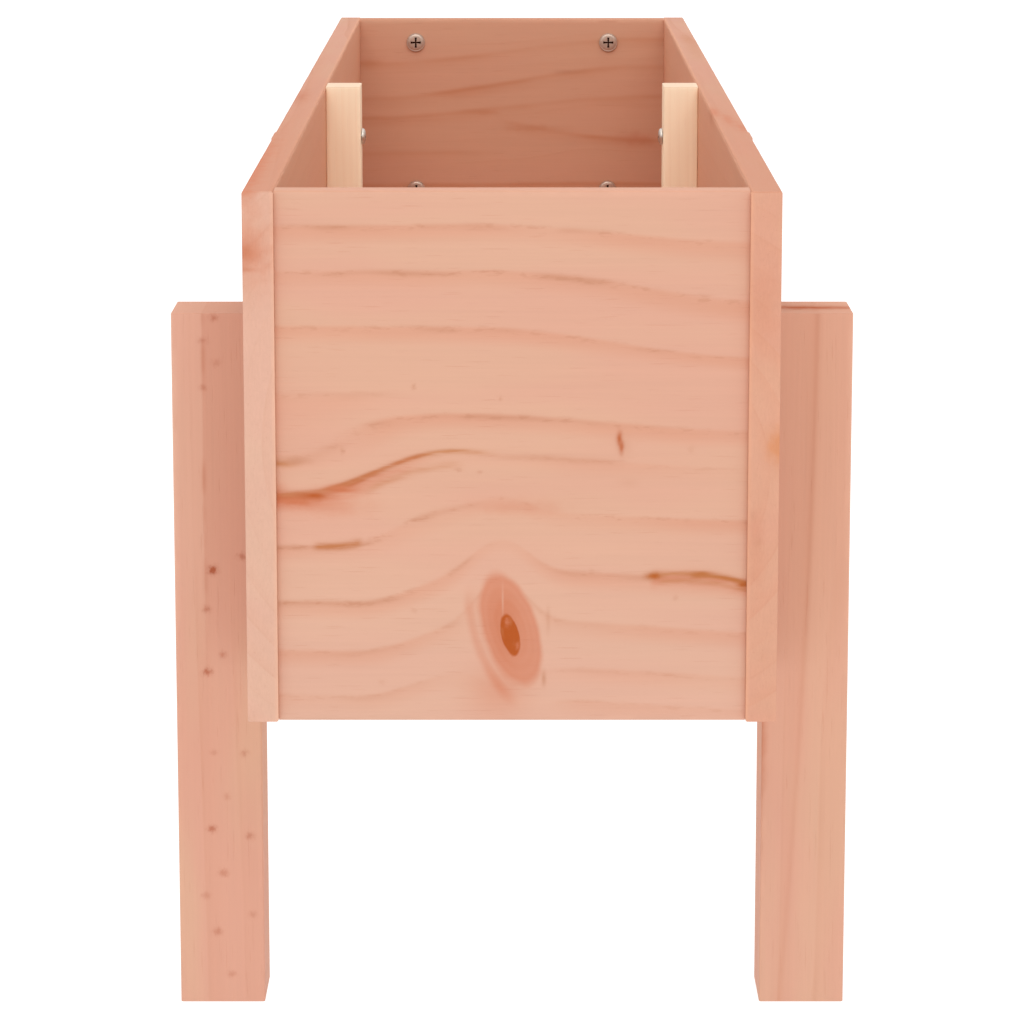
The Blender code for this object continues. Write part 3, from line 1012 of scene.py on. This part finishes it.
def rim_mark(along, through, long, wide, colour, strength):
    """A mark on a side board's top edge."""
    return Mark(along, SIDE_HALF.z, through, (long, 0.005, wide), colour, strength)


def inner_mark(along, across, long, tall, colour, strength):
    """A mark on the far end board's inner face."""
    return Mark(along, across, -END_HALF.y, (long, tall, 0.004), colour, strength)


PAINT = {"leg_front_left": left_leg_paint, "leg_front_right": right_leg_paint, "end_board_back": back_paint}
MARKS = {
    "leg_front_left": leg_pins(),
    "leg_front_right": (
        Mark(0.1575, 0.003, -0.0010, (0.004, 0.0260, 0.0060), RUST, 0.85),
        Mark(0.1575, -0.005, -0.0010, (0.004, 0.0130, 0.0036), CORE, 0.55),
        Mark(-0.050, 0.019, -0.012, (0.045, 0.0020, 0.004), LINE, 0.4),
        Mark(-0.030, -0.019, -0.018, (0.030, 0.0020, 0.003), RUST, 0.45),
    ),
    "side_board_left": (
        end_mark(0.0880, -0.0045, 0.0170, 0.0120, HALO, 0.55),
        end_mark(0.0872, -0.0065, 0.0055, 0.0095, EMBER, 0.50),
        end_mark(0.0866, -0.0070, 0.0048, 0.0034, RUST, 0.34),
        end_mark(0.0800, -0.0055, 0.0010, 0.0050, RUST, 0.35),
        rim_mark(-0.42, -0.0070, 0.16, 0.0055, EMBER, 0.80),
        rim_mark(-0.07, -0.0035, 0.035, 0.0035, RUST, 0.50),
    ),
    "end_board_back": (
        inner_mark(0.081, 0.0345, 0.013, 0.0040, EMBER, 0.40),
        inner_mark(-0.092, 0.0840, 0.007, 0.0030, TAWNY, 0.60),
        inner_mark(-0.020, 0.0520, 0.010, 0.0016, TAWNY, 0.70),
        inner_mark(0.014, 0.0415, 0.017, 0.0020, TAWNY, 0.60),
        inner_mark(0.036, 0.0785, 0.007, 0.0014, LINE, 0.45),
    ),
    "side_board_right": (
        end_mark(0.0058, 0.0080, 0.0072, 0.0054, GOLD, 1.50),
        end_mark(-0.0400, -0.0030, 0.0180, 0.0040, EMBER, 0.20),
        end_mark(0.0650, -0.0010, 0.0160, 0.0070, EMBER, 0.22),
        end_mark(-0.0350, -0.0018, 0.0018, 0.0014, LINE, 0.40),
        end_mark(-0.0243, -0.0042, 0.0018, 0.0012, LINE, 0.30),
        end_mark(-0.0843, 0.0006, 0.0022, 0.0014, LINE, 0.25),
        rim_mark(0.323, 0.0020, 0.03, 0.0040, AMBER, 0.45),
        rim_mark(-0.155, -0.0050, 0.022, 0.0028, EMBER, 0.62),
        rim_mark(-0.195, 0.0000, 0.026, 0.0028, EMBER, 0.55),
        rim_mark(-0.235, 0.0050, 0.022, 0.0028, EMBER, 0.62),
        rim_mark(0.24, 0.0020, 0.075, 0.0050, AMBER, 0.28),
    ),
}
KNOTS = {
    "side_board_left": (
        Knot(-0.245, -0.030, 0.0150, 0.0115, 12.0),
        Knot(0.105, 0.022, 0.0095, 0.0075, -20.0),
        Knot(0.362, -0.058, 0.0170, 0.0130, 8.0),
    ),
    "side_board_right": (
        Knot(-0.330, 0.012, 0.0125, 0.0095, -10.0),
        Knot(0.045, -0.050, 0.0180, 0.0140, 15.0),
        Knot(0.300, 0.004, 0.0085, 0.0065, 0.0),
    ),
    "end_board_back": (Knot(0.048, -0.052, 0.0130, 0.0160, -14.0),),
    "floor_slat_3": (Knot(-0.040, 0.012, 0.0110, 0.0085, 10.0),),
    "floor_slat_7": (Knot(0.052, -0.014, 0.0120, 0.0090, -8.0),),
    "leg_back_left": (Knot(-0.060, 0.004, 0.0090, 0.0070, 10.0),),
    "leg_back_right": (Knot(0.030, -0.003, 0.0080, 0.0062, -12.0),),
}
STREAKS = {
    "side_board_left": (
        Streak(-0.140, -0.020, 0.050, 0.0010, RUST, 0.7),
        Streak(0.210, 0.300, -0.010, 0.0011, AMBER, 0.9),
    ),
    "side_board_right": (
        Streak(-0.210, -0.120, -0.060, 0.0011, RUST, 0.7),
        Streak(0.150, 0.270, 0.058, 0.0010, AMBER, 0.9),
    ),
}
INNER_SIDE = {"side_board_left": 1, "side_board_right": -1, "end_board_front": 1, "end_board_back": -1}


def look_of(node, number):
    """How a timber was sawn and marked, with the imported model's name giving what is its own."""
    family = next(family for family in LOOKS if node.startswith(family))
    look = dict(LOOKS[family], seed=4.0 + 6.7 * number, contrast=0.75, end_tint=PALE)
    inner = INNER_SIDE.get(node, 1 if number % 2 else -1)
    look["pith"] = (look["pith"][0] * (1 - number % 3 * 0.6), look["pith"][1] * inner)
    if family in ("side_board", "end_board"):
        look["paint"] = board_paint(inner, LINING_HEART_AND_BOUNCE if family == "side_board" else INNER_HEART_AND_BOUNCE, 0.8)
    own = {"paint": PAINT, "marks": MARKS, "knots": KNOTS, "streaks": STREAKS}
    look.update({key: table[node] for key, table in own.items() if node in table})
    if family == "leg":
        look["end_tint"], look["contrast"] = LEG_END, 0.25
    if family in ("middle_batten", "floor_bearer"):
        look["end_tint"], look["contrast"] = PINE_END, 0.22
    if node == "end_board_back":
        look.update(rise=-0.07, spacing=0.0155, contrast=0.40, pith=(-0.30, -0.05), wander=0.008)
    if node == "side_board_right":
        look["end_tint"] = BAND
    return GRAIN_AXES[family], look


SLOTS = {
    "side": "board_fir",
    "end": "board_fir",
    "leg": "leg_fir",
    "floor": "slat_fir",
    "middle": "pale_pine",
}


def slot_of(node):
    return "pale_pine" if node.startswith("floor_bearer") else SLOTS[node.split("_")[0]]


def snugged(node, low, high):
    """A timber's box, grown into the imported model's gap where the real one is screwed up tight."""
    if node.startswith("end_board"):
        return low - Vector((SNUG, 0, 0)), high + Vector((SNUG, 0, 0))
    if node.startswith(("middle_batten", "floor_bearer")):
        if low.x > 0:
            return low, high + Vector((SNUG, 0, 0))
        return low - Vector((SNUG, 0, 0)), high
    return low, high


def build_timbers(nodes, screws):
    for number, node in enumerate(nodes):
        low, high = snugged(node, *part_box(node))
        axes, look = look_of(node, number)
        centre = (low + high) / 2
        end_radius = BUTT_RADIUS if node.startswith("end_board") else END_RADIUS
        mesh = timber_mesh(node, axes, low, high, end_radius, number * 3.7)
        piece = new_piece(node + "_timber", mesh, None)
        drill(piece, low, high, screws)
        if node == "end_board_front":
            material = front_board_material(node + "_wood", axes, centre)
        else:
            material = timber_material(node + "_wood", axes, centre, look)
        piece.data.materials.clear()
        piece.data.materials.append(material)
        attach(piece, "root")
        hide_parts(node)
        slot_of(node)


def build_screws(screws):
    # The metals' colours hold a painted reflection of the wood round the heads
    metals = {"end": metal_material("washer_zinc_and_reflection", WASHER_ZINC_AND_WOOD_REFLECTION, 0.42)}
    metal = metal_material("zinc_plate_and_reflection", ZINC_AND_WOOD_REFLECTION, 0.44)
    dark = metal_material("recess_shadow", RECESS_PAINTED_SHADE, 0.60)
    meshes = {}
    for node in screws:
        place, length, radius = screw_place(node)
        kind = screw_kind(node)
        if kind not in meshes:
            meshes[kind] = screw_mesh(kind, length, radius, metals.get(kind, metal), dark)
        piece = add_object(node + "_metal", meshes[kind])
        piece.matrix_world = place
        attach(piece, "root")
        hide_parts(node)


# ----- the studio

CAMERA_PLACE = (0.0, -2.2027, 0.5717)
CAMERA_PITCH = 10.88
CAMERA_LENS = 145.16
FLOOR_REACH = 30.0
FLOOR_GREY = 0.25
FLOOR_GLOW = 0.93
WORLD_WHITE = 0.90
SOFTBOXES = (  # name, place, target, size and power
    ("front", (0.0, -2.2, 2.3), (0.0, -0.1, 0.25), (2.6, 1.8), 28.0),
    ("top", (0.0, 0.3, 2.4), (0.0, 0.1, 0.25), (2.4, 2.4), 15.0),
)


def build_floor():
    form = bmesh.new()
    bmesh.ops.create_grid(form, x_segments=1, y_segments=1, size=FLOOR_REACH)
    material = new_material("pale_floor")
    shader = material.node_tree.nodes["Principled BSDF"]
    shader.inputs["Base Color"].default_value = (FLOOR_GREY, FLOOR_GREY, FLOOR_GREY, 1.0)
    shader.inputs["Roughness"].default_value = 0.9
    shader.inputs["Specular IOR Level"].default_value = 0.1
    shader.inputs["Emission Color"].default_value = (1.0, 1.0, 1.0, 1.0)
    shader.inputs["Emission Strength"].default_value = FLOOR_GLOW
    floor = new_piece("studio_floor", to_mesh("studio_floor", form, closed=False), material)


def add_softbox(name, place, target, size, power):
    lamp = bpy.data.lights.new(name, "AREA")
    lamp.shape = "RECTANGLE"
    lamp.size, lamp.size_y = size
    lamp.energy = power
    item = add_object(name, lamp)
    item.location = place
    item.rotation_mode = "QUATERNION"
    item.rotation_quaternion = (Vector(target) - Vector(place)).to_track_quat("-Z", "Y")


def build_light():
    world = bpy.data.worlds.new("studio")
    bpy.context.scene.world = world
    world.use_nodes = True
    background = world.node_tree.nodes["Background"]
    background.inputs["Color"].default_value = (1.0, 1.0, 1.0, 1.0)
    background.inputs["Strength"].default_value = WORLD_WHITE
    for box in SOFTBOXES:
        add_softbox(*box)
    bpy.context.scene.view_settings.view_transform = "Standard"


def build_camera():
    lens = bpy.data.cameras.new("camera")
    lens.lens = CAMERA_LENS
    lens.sensor_width = 36.0
    camera = add_object("camera", lens)
    camera.location = CAMERA_PLACE
    camera.rotation_euler = (math.radians(90 - CAMERA_PITCH), 0, 0)
    lens.clip_end = 60.0
    bpy.context.scene.camera = camera


screw_nodes = sorted(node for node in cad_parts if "_screw_" in node)
timber_nodes = sorted(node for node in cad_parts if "_screw_" not in node)
build_camera()
build_timbers(timber_nodes, screw_nodes)
build_screws(screw_nodes)
build_floor()
build_light()
